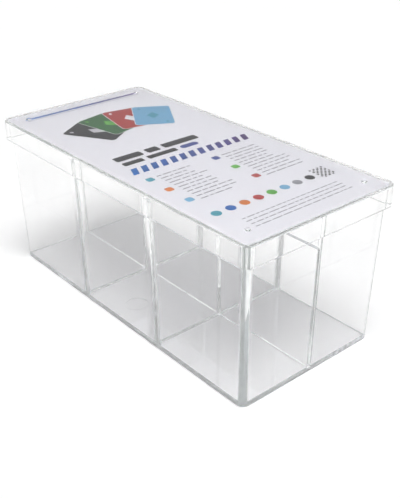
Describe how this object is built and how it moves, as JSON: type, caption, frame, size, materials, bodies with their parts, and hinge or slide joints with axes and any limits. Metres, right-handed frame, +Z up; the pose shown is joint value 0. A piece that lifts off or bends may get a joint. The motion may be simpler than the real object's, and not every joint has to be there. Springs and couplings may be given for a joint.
{
  "type": "card storage box",
  "caption": "Clear moulded box for standing stacks of sleeved cards, with half-walls moulded across it, a long divider that lifts out, a lift-off lid with a skirt, and a printed card under the lid's panel.",
  "frame": {"origin": "middle of the tray's underside, on the surface that the box stands on", "axes": "+X along the length of the box, towards its right end; +Y from the front long wall to the back one; +Z up, the way the lid lifts"},
  "size_m": [0.2292, 0.1102, 0.0993],
  "materials": {
    "clear_tray": "clear, polished mould",
    "clear_divider": "clear, polished mould",
    "clear_lid": "clear, polished mould",
    "printed_card": "matt print on white board"
  },
  "bodies": {
    "box": {"tray": "clear_tray"},
    "long_divider": {"long_divider": "clear_divider"},
    "lid": {"lid": "clear_lid", "insert_card": "printed_card"}
  },
  "joints": [
    {"name": "lid_lift", "type": "slide", "parent": "box", "child": "lid", "axis": [0, 0, 1], "range_m": [0, 0.125]},
    {"name": "long_divider_lift", "type": "slide", "parent": "box", "child": "long_divider", "axis": [0, 0, 1], "range_m": [0, 0.018]}
  ]
}
